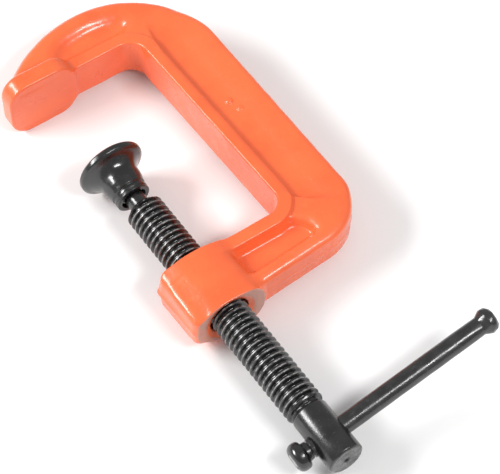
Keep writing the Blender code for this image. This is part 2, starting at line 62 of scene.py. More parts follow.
# ---- the casting
OPENING = 65.2                  # anvil face to boss
THROAT = 26.4                   # screw axis to the spine, halfway down
LEAN = math.tan(math.radians(1.0))       # the spine's inner side leans in towards the jaw
SPINE_OUT = 43.95               # screw axis to the spine's outer side
ARM_OUT = -80.3                 # the arm's outer side beside the boss
ARM_RISE = math.radians(3.5)    # it climbs from there towards the heel
CROWN = (17.6, -20.5, 37.65)    # centre x, centre y, radius
CROWN_END = math.radians(146)
SHOULDER_R = 26.5
HEEL_R = 14.0
JAW_Y = 0.5                     # the jaw's inner side, just behind the anvil's face
OUTER_CLOSE_X = -14.0           # where the outline is closed, left of the anvil
OPEN_CLOSE_X = -30.0            # the same for the throat's outline
THROAT_TOP_R = 4.6
THROAT_LOW_R = 5.0
HALF_RIM = 6.0                  # half the thickness at the rims
HALF_JAW = 5.4                  # the same along the jaw
BEAD = 3.6                      # width of the raised bead round the throat
STEP = 0.7                      # how far the ridges lie below the bead
SPINE_WEB = 4.0                 # half the thickness left in each panel
JAW_WEB = 2.9
ARM_WEB = 2.8
TAPER_AZ = 4.75                 # the arm's rim falls away to this half thickness at its outer edge
TAPER_SLOPE = 0.22
TAPER_SCALE = 1.02              # makes the taper's value a distance
BEVEL = (0.530, 0.848, 3.685)   # a bevel along that edge: outward and sideways share, distance
PLATE_END_X = -10.0             # where the jaw's plate ends, inside the anvil
ANVIL = (-12.0, 7.3, 8.65, 5.4, 5.4)     # low x, high x, half width, corner radius, height
BOSS_TOP = -65.2
BOSS_LOW = -81.4
BOSS_DEEP = 21.0                # how far its slab runs down before the end is ground off
BOSS_R = (9.65, 8.6)            # at its top and at its low end
BOSS_HALF = (9.3, 7.7)          # half thickness, the same
BOSS_FULL = 1.15                # how much of that taper is taken back on the arm's side
BORE_R = 5.4
GROOVE = 0.22                   # the internal thread's height, half of it
COUNTERSINK_R = 7.2
COUNTERSINK = 0.7
PIPS = ((34.6, -29.6, 0.95), (35.7, -33.2, 0.75))     # x, y, radius
PIP_RISE = 0.55
GRID = 0.3                      # spacing of the casting's mesh
FIELD_GRID = 0.25

# ---- screw, pad and bar
PITCH = 1.7
CREST_R = 5.0
ROOT_R = 4.12
THREAD_TOP = -43.0
THREAD_LOW = -113.2
HEAD_R = 4.63
HEAD_LOW = -128.2
HOLE_R = 2.55                   # the cross hole for the bar
HOLE_MOUTH = (3.6, 9.0)         # it flares to this radius at this distance
NECK_R = 2.6
BALL_R = 3.5
BALL_Y = -33.9
PAD_FACE = -27.0
PAD_SKIRT = -38.8
PAD_LIFT = math.radians(5.5)    # the pad hangs a little askew on its ball
BAR_Y = -120.7
BAR_R = 2.4
BAR_TILT = math.radians(11.1)
BAR_END = 48.0
SPIGOT_R = 1.75                 # the bar's turned-down end, through the knob
KNOB_FACE = -4.98
KNOB_END = -9.9


# ================================================================ signed distances

def round_and(a, b, r):
    """Both solids at once, the edge between them rounded."""
    corner = np.hypot(np.maximum(a + r, 0), np.maximum(b + r, 0))
    return np.minimum(-r, np.maximum(a, b)) + corner


def round_or(a, b, r):
    """Either solid, with a fillet where they meet."""
    corner = np.hypot(np.maximum(r - a, 0), np.maximum(r - b, 0))
    return np.maximum(r, np.minimum(a, b)) - corner


def ramp(value, low, high):
    """Smooth step from 0 to 1."""
    t = np.clip((value - low) / (high - low), 0, 1)
    return t * t * (3 - 2 * t)


def arc(cx, cy, r, start, end, step=math.radians(2.5)):
    """Points round a centre, both ends included."""
    count = max(3, math.ceil(abs(end - start) / step))
    return [(cx + r * math.cos(start + (end - start) * i / count),
             cy + r * math.sin(start + (end - start) * i / count)) for i in range(count + 1)]


def outer_polygon():
    """The outside of the C, closed across its opening."""
    cx, cy, cr = CROWN
    sx = SPINE_OUT - SHOULDER_R
    sy = cy + math.sqrt((cr - SHOULDER_R) ** 2 - (sx - cx) ** 2)
    join = math.atan2(sy - cy, sx - cx)
    heel_x = SPINE_OUT - HEEL_R
    heel_y = ARM_OUT + (heel_x - BOSS_R[0]) * math.tan(ARM_RISE) + HEEL_R / math.cos(ARM_RISE)
    points = [(OUTER_CLOSE_X, ARM_OUT + (OUTER_CLOSE_X - BOSS_R[0]) * math.tan(ARM_RISE))]
    points += arc(heel_x, heel_y, HEEL_R, ARM_RISE - math.pi / 2, 0)
    points += arc(sx, sy, SHOULDER_R, 0, join)
    points += arc(cx, cy, cr, join, CROWN_END)[1:]
    return points + [(OUTER_CLOSE_X, -2.0)]


def throat_polygon():
    """The open throat, closed well to the left of the screw."""
    top = THROAT - (JAW_Y + OPENING / 2) * LEAN
    low = THROAT + (OPENING / 2) * LEAN
    turn = math.atan(LEAN)
    a = arc(top - THROAT_TOP_R, JAW_Y - THROAT_TOP_R, THROAT_TOP_R, math.pi / 2, turn)
    b = arc(low - THROAT_LOW_R, BOSS_TOP + THROAT_LOW_R, THROAT_LOW_R, turn, -math.pi / 2)
    return [(OPEN_CLOSE_X, JAW_Y)] + a + b + [(OPEN_CLOSE_X, BOSS_TOP)]


def polygon_distance(px, py, polygon):
    """Signed distance to a closed outline, negative inside."""
    best = np.full(px.shape, 1e9)
    inside = np.zeros(px.shape, bool)
    for (ax, ay), (bx, by) in zip(polygon, polygon[1:] + polygon[:1]):
        ex, ey = bx - ax, by - ay
        wx, wy = px - ax, py - ay
        t = np.clip((wx * ex + wy * ey) / max(ex * ex + ey * ey, 1e-9), 0, 1)
        best = np.minimum(best, (wx - ex * t) ** 2 + (wy - ey * t) ** 2)
        if ey:
            inside ^= ((ay > py) != (by > py)) & (wx < ex * wy / ey)
    return np.where(inside, -1, 1) * np.sqrt(best)


class Field:
    """A flat distance field, sampled on a grid and read back between its points."""

    def __init__(self, polygon, low, high, step):
        self.low, self.step = low, step
        xs = np.arange(low[0], high[0] + step, step)
        ys = np.arange(low[1], high[1] + step, step)
        px, py = np.meshgrid(xs, ys, indexing="ij")
        self.values = polygon_distance(px, py, polygon)

    def at(self, x, y):
        u = np.clip((x - self.low[0]) / self.step, 0, self.values.shape[0] - 1.001)
        v = np.clip((y - self.low[1]) / self.step, 0, self.values.shape[1] - 1.001)
        i, j = u.astype(int), v.astype(int)
        u, v = u - i, v - j
        f = self.values
        return (f[i, j] * (1 - u) * (1 - v) + f[i + 1, j] * u * (1 - v)
                + f[i, j + 1] * (1 - u) * v + f[i + 1, j + 1] * u * v)


BOX_LOW = (-13.0, -82.6, -9.4)          # the casting lies inside this box
BOX_HIGH = (45.6, 18.6, 9.4)
FIELD_LOW = (-14, -84)
FIELD_HIGH = (47, 20)
OUTER = Field(outer_polygon(), FIELD_LOW, FIELD_HIGH, FIELD_GRID)
OPEN = Field(throat_polygon(), FIELD_LOW, FIELD_HIGH, FIELD_GRID)


def line(x, y, first, second):
    """Distance to the left of the line from first to second, negative on its right."""
    dx, dy = second[0] - first[0], second[1] - first[1]
    size = math.hypot(dx, dy)
    return ((y - first[1]) * dx - (x - first[0]) * dy) / size


def recess(walls, above, az, corner, foot, web):
    """A panel: sloping walls, each (flat distance, slope), down to the web, filleted at the foot."""
    whole = None
    for flat, slope in walls:
        wall = (flat + slope * above) / math.sqrt(1 + slope * slope)
        whole = wall if whole is None else round_and(whole, wall, corner)
    return round_and(whole, web - az, foot)


def casting_noise(x, y, z):
    """The gentle waviness of a sand casting."""
    slow = np.sin(0.61 * x + 0.37 * y + 1.1) * np.sin(0.43 * y - 0.52 * z + 0.6)
    slow = slow + np.sin(0.35 * x - 0.71 * y + 2.3) * np.sin(0.66 * z + 0.31 * x + 1.7)
    quick = np.sin(2.1 * x + 1.3 * z) * np.sin(1.9 * y + 0.4) * np.sin(2.3 * z + 0.9 * x + 0.5)
    return 0.028 * slow + 0.014 * quick


def rim_plate(x, y, az, outer, throat, above, jaw):
    """The C's plate: a crisp inner edge, a rounder outer one that falls away along the arm."""
    arm_side = ramp(-y, 62.0, 74.0)
    lifted = 3.0 * (1 - arm_side)                           # lifts the arm's cuts clear of the rest
    plate = round_and(outer, -above, 2.0 + 0.9 * jaw - 0.8 * arm_side)
    taper = (az - TAPER_AZ + TAPER_SLOPE * outer - lifted) / TAPER_SCALE
    plate = round_and(plate, taper, 1.2)
    out, side, away = BEVEL
    bevel = out * outer + side * az - away - lifted
    plate = round_and(plate, bevel, 0.8)
    plate = round_and(plate, -throat, 0.5)
    return round_and(plate, PLATE_END_X - x, 2.0)


def panels(x, y, az, outer, throat, above):
    """The recesses in the spine, the jaw and the arm, the same on both sides."""
    spine = recess(((2.7 - throat, 1.5), (3.4 + outer, 3.3),
                    (line(x, y, (38.5, -69.6), (29.4, -63.1)), 0.35),
                    (line(x, y, (28.6, -5.2), (31.3, 3.0)), 0.7),
                    (line(x, y, (30.0, 3.6), (40.0, -0.2)), 1.1)), above, az, 1.4, 0.6, SPINE_WEB)
    jaw = recess(((3.4 - throat, 0.8), (5.2 + outer, 0.8), (4.6 - x, 1.4),
                  (line(x, y, (30.4, 9.6), (25.2, 2.8)), 1.0)), above, az, 2.4, 1.2, JAW_WEB)
    arm = recess(((3.55 - throat, 0.5), (3.1 + outer, 0.45), (7.0 - x, 0.3), (x - 30.6, 0.55),
                  (line(x, y, (26.0, -67.5), (30.4, -72.1)), 0.5)), above, az, 1.5, 0.5, ARM_WEB)
    return np.minimum(np.minimum(spine, jaw), arm)


def anvil_block(x, y, az):
    low, high, wide, corner, height = ANVIL
    qx = np.abs(x - (low + high) / 2) - ((high - low) / 2 - corner)
    qz = az - (wide - corner)
    block = np.hypot(np.maximum(qx, 0), np.maximum(qz, 0)) + np.minimum(np.maximum(qx, qz), 0) - corner
    slab = np.abs(y - height / 2) - height / 2
    return round_and(block, slab, 0.5 + 1.0 * ramp(y, 1.5, 4.0))


def boss_barrel(x, y, z, az, rho):
    """The boss: thicker at its top, flat on both sides, with a parting ridge along it."""
    fall = np.clip((BOSS_TOP - y) / (BOSS_TOP - BOSS_LOW), 0, 1.2)
    ridge = (0.9 - 0.30 * fall) * np.exp(-np.square(z)) * ramp(-x, 4, 8)
    ridge = ridge * (1 - ramp(-y, 80.4, 81.0))
    shrink = fall * (1 - BOSS_FULL * ramp(x, 1, 8))
    barrel = rho - (BOSS_R[0] + (BOSS_R[1] - BOSS_R[0]) * shrink) - ridge
    barrel = round_and(barrel, az - (BOSS_HALF[0] + (BOSS_HALF[1] - BOSS_HALF[0]) * fall), 3.2)
    slab = np.abs(y - BOSS_TOP + BOSS_DEEP / 2) - BOSS_DEEP / 2
    return round_and(barrel, slab, 0.35)


def mould_marks(x, y, z, outer):
    """What the mould adds: waviness, the parting line and the ground-off flash."""
    faced = 1 - ramp(-y, -BOSS_LOW - 0.8, -BOSS_LOW - 0.3)
    marks = casting_noise(x, y, z) * faced
    edge = np.exp(-np.square(outer / 1.2))
    marks = marks + 0.13 * np.exp(-np.square(z / 0.35)) * edge * ramp(x, 8, 16)
    ground = np.sin(5.1 * x + 1.7 * z) * np.sin(4.3 * z + 0.8) * np.sin(3.7 * x + 2.9 * y)
    return marks + 0.05 * ground * edge * ramp(-z, -2.4, 0.5) * ramp(x, 8, 16)


def screw_bore(x, y, z, rho):
    """The bore with its internal thread, and the countersink at the boss's end."""
    turn = np.arctan2(x, z) / math.tau
    groove = GROOVE * np.cos(math.tau * ((y - THREAD_TOP) / PITCH - turn))
    bore = np.maximum(rho - BORE_R - groove, y - BOSS_TOP - 2)
    cone = (rho - COUNTERSINK_R) * COUNTERSINK + (y - BOSS_LOW) * (COUNTERSINK_R - BORE_R)
    cone = cone / math.hypot(COUNTERSINK, COUNTERSINK_R - BORE_R)
    return np.minimum(bore, cone)


def clamp_distance(x, y, z):
    """Signed distance to the whole casting."""
    az = np.abs(z)
    rho = np.hypot(x, z)
    outer = OUTER.at(x, y)
    throat = OPEN.at(x, y)
    share = throat / np.maximum(throat - outer, 0.5)        # 0 at the throat, 1 at the outside
    jaw = ramp(y, -8.0, 4.0)
    half = HALF_RIM + (HALF_JAW - HALF_RIM) * jaw
    half = half - STEP * ramp(throat, BEAD - 0.1, BEAD + 0.35) * ramp(-outer, 3.0, 12.0)
    above = half - az

    plate = rim_plate(x, y, az, outer, throat, above, jaw)
    lip = 0.4 + 1.0 * ramp(share, 0.25, 0.6)
    body = round_and(plate, -panels(x, y, az, outer, throat, above), lip)
    body = round_or(body, anvil_block(x, y, az), 1.2)
    body = round_or(body, boss_barrel(x, y, z, az, rho), 1.9)
    body = round_and(body, BOSS_LOW - y, 0.25)
    body = body - mould_marks(x, y, z, outer)
    for px, py, pr in PIPS:
        pip = round_and(np.hypot(x - px, y - py) - pr, az - SPINE_WEB - PIP_RISE, 0.35)
        body = round_or(body, pip, 0.35)
    return round_and(body, -screw_bore(x, y, z, rho), 0.2)


# ================================================================ meshes from distances

def net(distance, low, high, step):
    """Vertices and quads of the surface where the distance is zero."""
    axes = [np.arange(a, b + step, step) for a, b in zip(low, high)]
    gx, gy = np.meshgrid(axes[0], axes[1], indexing="ij")
    values = np.empty((len(axes[0]), len(axes[1]), len(axes[2])))
    for k, z in enumerate(axes[2]):
        values[:, :, k] = distance(gx, gy, np.full(gx.shape, z))
    solid = values < 0
    corners = [(i, j, k) for i in (0, 1) for j in (0, 1) for k in (0, 1)]
    shape = [n - 1 for n in solid.shape]

    def part(array, i, j, k):
        return array[i:i + shape[0], j:j + shape[1], k:k + shape[2]]

    count = sum(part(solid, *c).astype(np.int8) for c in corners)
    cells = np.argwhere((count > 0) & (count < 8))
    number = np.full(shape, -1, np.int64)
    number[tuple(cells.T)] = np.arange(len(cells))
    place = np.zeros((len(cells), 3))
    hits = np.zeros(len(cells))
    for axis in range(3):
        unit = np.eye(3, dtype=int)[axis]
        for corner in corners:
            if corner[axis]:
                continue
            start = cells + corner
            a = values[tuple(start.T)]
            b = values[tuple((start + unit).T)]
            cut = (a < 0) != (b < 0)
            t = np.where(cut, a / np.where(cut, a - b, 1), 0)
            place += np.where(cut[:, None], start + unit * t[:, None], 0)
            hits += cut
    verts = np.array(low) + step * place / hits[:, None]
    quads = []
    for axis in range(3):
        u, v = (axis + 1) % 3, (axis + 2) % 3
        unit = np.eye(3, dtype=int)
        first = [slice(None)] * 3
        second = [slice(None)] * 3
        first[axis], second[axis] = slice(0, -1), slice(1, None)
        cut = np.argwhere(solid[tuple(first)] != solid[tuple(second)])
        cut = cut[(cut[:, u] > 0) & (cut[:, v] > 0) & (cut[:, u] < shape[u]) & (cut[:, v] < shape[v])]
        out = solid[tuple(cut.T)]
        ring = [cut - unit[u] - unit[v], cut - unit[v], cut, cut - unit[u]]
        quad = np.stack([number[tuple(c.T)] for c in ring], axis=1)
        quad[~out] = quad[~out][:, ::-1]
        quads.append(quad)
    return verts, np.concatenate(quads)


def settle(distance, verts, quads, rounds=2):
    """Evens out the mesh and puts every vertex on the surface."""
    small = 0.02

    def project(points):
        x, y, z = points.T
        value = distance(x, y, z)
        slope = np.stack([(distance(x + small, y, z) - value) / small,
                          (distance(x, y + small, z) - value) / small,
                          (distance(x, y, z + small) - value) / small], axis=1)
        size = np.maximum((slope * slope).sum(axis=1), 0.2)
        shift = -value[:, None] * slope / size[:, None]
        long = np.linalg.norm(shift, axis=1)
        return points + shift * np.minimum(1, GRID / np.maximum(long, 1e-9))[:, None]

    edges = np.concatenate([quads[:, [i, (i + 1) % 4]] for i in range(4)])
    a, b = edges.T
    count = np.bincount(a, minlength=len(verts))
    verts = project(verts)
    for _ in range(rounds):
        mean = np.stack([np.bincount(a, weights=verts[b, i], minlength=len(verts)) for i in range(3)],
                        axis=1) / count[:, None]
        verts = project(verts + 0.5 * (mean - verts))
    return project(verts)


def mesh_object(name, verts, faces):
    mesh = bpy.data.meshes.new(name)
    mesh.from_pydata((np.asarray(verts) * MM).tolist(), [], np.asarray(faces).tolist())
    mesh.validate()
    mesh.shade_smooth()
    item = bpy.data.objects.new(name, mesh)
    bpy.context.collection.objects.link(item)
    return item


# ================================================================ turned and threaded pieces

def softened(points, step=math.radians(12)):
    """An open line of (radius, y, fillet) points with each corner rounded."""
    result = []
    for index, (r, y, fillet) in enumerate(points):
        if fillet <= 0 or index in (0, len(points) - 1):
            result.append((r, y))
            continue
        here = Vector((r, y))
        back = Vector(points[index - 1][:2]) - here
        ahead = Vector(points[index + 1][:2]) - here
        half = back.angle(ahead) / 2
        if half > math.radians(88):
            result.append((r, y))
            continue
        reach = min(fillet / math.tan(half), back.length * 0.49, ahead.length * 0.49)
        fillet = reach * math.tan(half)
        back.normalize()
        ahead.normalize()
        centre = here + (back + ahead).normalized() * (fillet / math.sin(half))
        first = here + back * reach - centre
        last = here + ahead * reach - centre
        sweep = math.atan2(first.x * last.y - first.y * last.x, first.dot(last))
        count = max(2, math.ceil(abs(sweep) / step))
        for i in range(count + 1):
            turned_by = Matrix.Rotation(sweep * i / count, 2)
            spot = centre + turned_by @ first
            result.append((spot.x, spot.y))
    return result


def lathe(name, profile, sides=96, wobble=None):
    """A closed body spun about Y from a (radius, y) line that starts and ends on the axis."""
    rows = []
    verts = []
    for r, y in profile:
        if r < 1e-6:
            rows.append([len(verts)])
            verts.append((0.0, y, 0.0))
            continue
        rows.append(list(range(len(verts), len(verts) + sides)))
        for side in range(sides):
            angle = math.tau * side / sides
            radius = r + (wobble(r, y, angle) if wobble else 0.0)
            verts.append((radius * math.sin(angle), y, radius * math.cos(angle)))
    faces = []
    for low, high in zip(rows, rows[1:]):
        for side in range(sides):
            after = (side + 1) % sides
            if len(low) == 1:
                faces.append((low[0], high[after], high[side]))
            elif len(high) == 1:
                faces.append((low[side], low[after], high[0]))
            else:
                faces.append((low[side], low[after], high[after], high[side]))
    mesh = bpy.data.meshes.new(name)
    mesh.from_pydata([(x * MM, y * MM, z * MM) for x, y, z in verts], [], faces)
    item = bpy.data.objects.new(name, mesh)
    bpy.context.collection.objects.link(item)
    return outward(item)


def outward(item, sharp=SHARP):
    """Turns the faces out and shades them smooth up to the sharp edges."""
    bm = bmesh.new()
    bm.from_mesh(item.data)
    bmesh.ops.recalc_face_normals(bm, faces=bm.faces)
    bm.to_mesh(item.data)
    bm.free()
    item.data.shade_smooth()
    item.data.set_sharp_from_angle(angle=sharp)
    return item


def combine(target, tool, operation):
    """Joins or cuts two closed bodies and applies the result to the first."""
    modifier = target.modifiers.new("combine", "BOOLEAN")
    modifier.operation = operation
    modifier.solver = "MANIFOLD"
    modifier.object = tool
    bpy.context.view_layer.update()
    mesh = bpy.data.meshes.new_from_object(target.evaluated_get(bpy.context.evaluated_depsgraph_get()))
    target.modifiers.clear()
    target.data = mesh
    bpy.data.objects.remove(tool)
    mesh.shade_smooth()
    mesh.set_sharp_from_angle(angle=SHARP)
    return target


def thread_radius(place, y):
    """Rolled thread: rounded crests and roots, chamfered where it starts and where it ends."""
    rise = 1 - 2 * abs(place % 1.0 - 0.5)
    t = min(max((rise - 0.14) / 0.72, 0.0), 1.0)
    radius = ROOT_R + (CREST_R - ROOT_R) * t * t * (3 - 2 * t)
    start = ROOT_R - 0.05
    from_top = start + (THREAD_TOP - y) * 1.1
    from_low = start + (y - THREAD_LOW) * 0.55
    return min(radius, from_top, from_low)


def threaded_rod(name, sides=80, points=14):
    """The threaded length, cut square at both ends."""
    turns = int((THREAD_TOP - THREAD_LOW) / PITCH) + 3
    start = THREAD_LOW - 1.6 * PITCH
    bm = bmesh.new()
    rows = []
    for side in range(sides):
        share = side / sides
        angle = math.tau * share
        row = []
        for step in range(turns * points):
            place = step / points + share
            y = start + place * PITCH
            radius = max(thread_radius(place, y), 1.0)
            row.append(bm.verts.new((radius * math.sin(angle) * MM, y * MM, radius * math.cos(angle) * MM)))
        rows.append(row)
    for side in range(sides):
        here = rows[side]
        there = rows[(side + 1) % sides]
        shift = points if side == sides - 1 else 0
        for step in range(turns * points - 1 - shift):
            bm.faces.new((here[step], here[step + 1], there[step + 1 + shift], there[step + shift]))
    for y, normal in ((THREAD_TOP, 1), (THREAD_LOW, -1)):
        geom = bm.verts[:] + bm.edges[:] + bm.faces[:]
        bmesh.ops.bisect_plane(bm, geom=geom, dist=1e-8, plane_co=(0, y * MM, 0),
                               plane_no=(0, normal, 0), clear_outer=True)
        border = [edge for edge in bm.edges if edge.is_boundary
                  and all(abs(vert.co.y - y * MM) < 1e-7 for vert in edge.verts)]
        bmesh.ops.holes_fill(bm, edges=border, sides=0)
    mesh = bpy.data.meshes.new(name)
    bm.to_mesh(mesh)
    bm.free()
    item = bpy.data.objects.new(name, mesh)
    bpy.context.collection.objects.link(item)
    return outward(item)


def along_bar(item):
    """Puts a piece turned about Y on the bar's axis, +Y towards the long end."""
    along = Vector((math.cos(BAR_TILT), 0, math.sin(BAR_TILT)))
    side = Vector((0, 1, 0))
    third = side.cross(along)
    turn = Matrix((third, along, side)).transposed().to_4x4()
    item.data.transform(Matrix.Translation((0, BAR_Y * MM, 0)) @ turn)
    return item


def make_spindle():
    """Thread, neck with its ball, and the head with rings turned on its end and the bar's hole."""
    body = threaded_rod("spindle_visual")
    join = math.asin(NECK_R / BALL_R)
    neck = []
    for i in range(19):
        angle = (math.pi - join) * i / 18
        neck.append((BALL_R * math.sin(angle), BALL_Y + BALL_R * math.cos(angle)))
    neck += softened([(NECK_R, -37.0, 0), (NECK_R, -42.2, 0.5), (3.3, -42.9, 0.3), (3.6, -43.05, 0),
                      (3.6, -44.0, 0), (0, -44.0, 0)])
    combine(body, lathe("neck", neck), "UNION")
    rings = []
    for i in range(9):
        radius = 3.7 - 0.3 * i
        rings += [(radius, HEAD_LOW, 0), (radius - 0.15, HEAD_LOW + 0.05, 0)]
    head = softened([(0, THREAD_LOW + 1.2, 0), (3.4, THREAD_LOW + 1.2, 0), (4.3, THREAD_LOW + 0.15, 0.2),
                     (HEAD_R, THREAD_LOW - 0.4, 0.4), (HEAD_R, HEAD_LOW + 0.45, 0.35),
                     (4.1, HEAD_LOW, 0.12), (3.85, HEAD_LOW, 0)] + rings
                    + [(1.0, HEAD_LOW + 0.02, 0.1), (0.55, HEAD_LOW + 0.5, 0.15), (0, HEAD_LOW + 0.7, 0)])

    def forged(r, y, angle):
        away = 1.0 if y > HEAD_LOW + 0.6 and y < THREAD_LOW - 0.6 else 0.0
        return away * 0.02 * (math.sin(3 * angle + 0.9 * y) + math.sin(5 * angle - 1.7 * y + 1.0))

    combine(body, lathe("head", head, wobble=forged), "UNION")
    mouth, away = HOLE_MOUTH
    hole = softened([(0, away, 0), (mouth, away, 0), (HOLE_R, 4.05, 0.3), (HOLE_R, -4.05, 0.3),
                     (mouth, -away, 0), (0, -away, 0)])
    hole = lathe("bar_hole", hole, sides=64)
    combine(body, along_bar(hole), "DIFFERENCE")
    return body


def make_pad():
    """Bell-shaped pad, hollow for the ball, with two collars on its skirt."""
    points = [(0, PAD_FACE, 0), (8.3, PAD_FACE, 0.3), (8.9, PAD_FACE - 0.55, 0.5),
              (8.85, PAD_FACE - 1.65, 0.5), (8.15, PAD_FACE - 2.2, 0.35)]
    for i in range(1, 13):
        t = i / 12
        points.append((5.3 + 2.65 * (1 - t) ** 2.5, PAD_FACE - 2.2 - 4.1 * t, 0))
    points += [(5.1, PAD_FACE - 7.6, 0.8), (4.85, PAD_FACE - 8.6, 0.8), (4.72, PAD_FACE - 9.35, 0.25),
               (4.35, PAD_FACE - 9.6, 0.2), (4.3, PAD_FACE - 9.85, 0.15), (4.62, PAD_FACE - 10.15, 0.2),
               (4.62, PAD_FACE - 10.75, 0.2), (4.42, PAD_FACE - 10.95, 0.12), (4.42, PAD_FACE - 11.1, 0.12),
               (4.6, PAD_FACE - 11.3, 0.15), (4.55, PAD_SKIRT + 0.15, 0.15), (4.2, PAD_SKIRT, 0.15),
               (3.4, PAD_SKIRT + 0.05, 0.15), (3.35, PAD_SKIRT + 0.9, 0.1), (3.95, PAD_SKIRT + 1.1, 0.1)]
    roof = BALL_Y + BALL_R + 0.3
    points.append((3.95, BALL_Y, 0))
    for i in range(1, 8):
        angle = math.pi / 2 * (1 - i / 8)
        points.append((3.95 * math.sin(angle), BALL_Y + (roof - BALL_Y) * math.cos(angle), 0))
    points.append((0, roof, 0))

    def forged(r, y, angle):
        outside = 1.0 if r > 4.9 and y < PAD_FACE - 0.4 else 0.0
        return outside * (0.035 * math.sin(3 * angle + 0.8 * y) + 0.025 * math.sin(7 * angle - 1.1 * y))

    pad = lathe("swivel_pad_visual", softened(points), wobble=forged)
    ball = Matrix.Translation((0, BALL_Y * MM, 0))
    pad.data.transform(ball @ Matrix.Rotation(PAD_LIFT, 4, "X") @ ball.inverted())
    return pad


def make_ring():
    """Split wire ring, its ends a little apart."""
    outer, inner, top = 3.45, 2.9, -36.36
    middle, half_wide, half_high = (outer + inner) / 2, (outer - inner) / 2, 0.45
    count, sides = 90, 12
    verts, faces = [], []
    sweep = math.tau - math.radians(24)
    for i in range(count + 1):
        angle = sweep * i / count
        for j in range(sides):
            turn = math.tau * j / sides
            r = middle + half_wide * math.cos(turn)
            y = top - half_high + half_high * math.sin(turn)
            verts.append((r * math.sin(angle), y, r * math.cos(angle)))
    for i in range(count):
        for j in range(sides):
            after = (j + 1) % sides
            faces.append((i * sides + j, i * sides + after, (i + 1) * sides + after, (i + 1) * sides + j))
    mesh = bpy.data.meshes.new("retaining_ring_visual")
    ends = [tuple(range(sides)), tuple(range(count * sides, (count + 1) * sides))]
    mesh.from_pydata([(x * MM, y * MM, z * MM) for x, y, z in verts], [], faces + ends)
    item = bpy.data.objects.new("retaining_ring_visual", mesh)
    bpy.context.collection.objects.link(item)
    return outward(item)


def make_bar():
    """Round rod with an upset head at one end and the knob's spigot at the other."""
    points = [(0, BAR_END - 0.05, 0), (1.3, BAR_END - 0.02, 0.5), (2.4, BAR_END - 0.2, 0.5),
              (3.1, BAR_END - 0.9, 0.6), (3.25, BAR_END - 2.2, 0.9), (2.75, BAR_END - 3.3, 0.7),
              (BAR_R, BAR_END - 4.0, 0.7)]
    for i in range(1, 24):
        points.append((BAR_R, BAR_END - 4.2 - i * (BAR_END - 4.2 - KNOB_FACE) / 24, 0))
    points += [(BAR_R, KNOB_FACE, 0.1), (SPIGOT_R, KNOB_FACE, 0), (SPIGOT_R, KNOB_END + 0.02, 0.1),
               (0, KNOB_END + 0.02, 0)]

    def forged(r, y, angle):
        if r < 1.9:
            return 0.0
        rough = min(max((y - 42.0) / 3.0, 0.0), 1.0)
        ripple = 0.012 * math.sin(0.9 * y + 2 * angle) + 0.010 * math.sin(2.3 * y - 3 * angle)
        dents = 0.05 * math.sin(4 * angle + 2.0 * y) + 0.045 * math.sin(9 * angle - 3.1 * y + 1.0)
        return ripple + rough * (dents - 0.05)

    return along_bar(lathe("tommy_bar_visual", softened(points), sides=80, wobble=forged))


def make_knob():
    """Mushroom knob, riveted on the bar's spigot."""
    hole = 2.05
    profile = [(hole, KNOB_END + 0.25), (hole + 0.05, KNOB_END + 0.1)]
    flat, full = 2.15, 3.6
    for i in range(13):
        angle = math.pi / 2 * i / 12
        dome = KNOB_END + 0.02 + 1.75 * (1 - math.cos(angle))
        profile.append((flat + (full - flat) * math.sin(angle), dome))
    for i in range(1, 10):
        angle = math.pi / 2 * i / 9
        profile.append((2.75 + 0.85 * math.cos(angle), KNOB_END + 2.1 + 1.25 * math.sin(angle)))
    profile += softened([(2.75, KNOB_END + 3.35, 0), (2.42, KNOB_END + 3.5, 0.3),
                         (2.3, KNOB_END + 4.1, 0.4), (2.3, KNOB_FACE - 0.45, 0.1),
                         (2.2, KNOB_FACE - 0.3, 0)])
    profile.append((hole, KNOB_FACE - 0.3))
    bm = bmesh.new()
    verts = [bm.verts.new((r * MM, y * MM, 0)) for r, y in profile]
    edges = [bm.edges.new(pair) for pair in zip(verts, verts[1:] + verts[:1])]
    bmesh.ops.spin(bm, geom=verts + edges, cent=(0, 0, 0), axis=(0, 1, 0), dvec=(0, 0, 0),
                   angle=math.tau, steps=80, use_merge=True)
    bmesh.ops.remove_doubles(bm, verts=bm.verts, dist=1e-8)
    mesh = bpy.data.meshes.new("tommy_bar_knob_visual")
    bm.to_mesh(mesh)
    bm.free()
    item = bpy.data.objects.new("tommy_bar_knob_visual", mesh)
    bpy.context.collection.objects.link(item)
    return along_bar(outward(item))


# ================================================================ materials

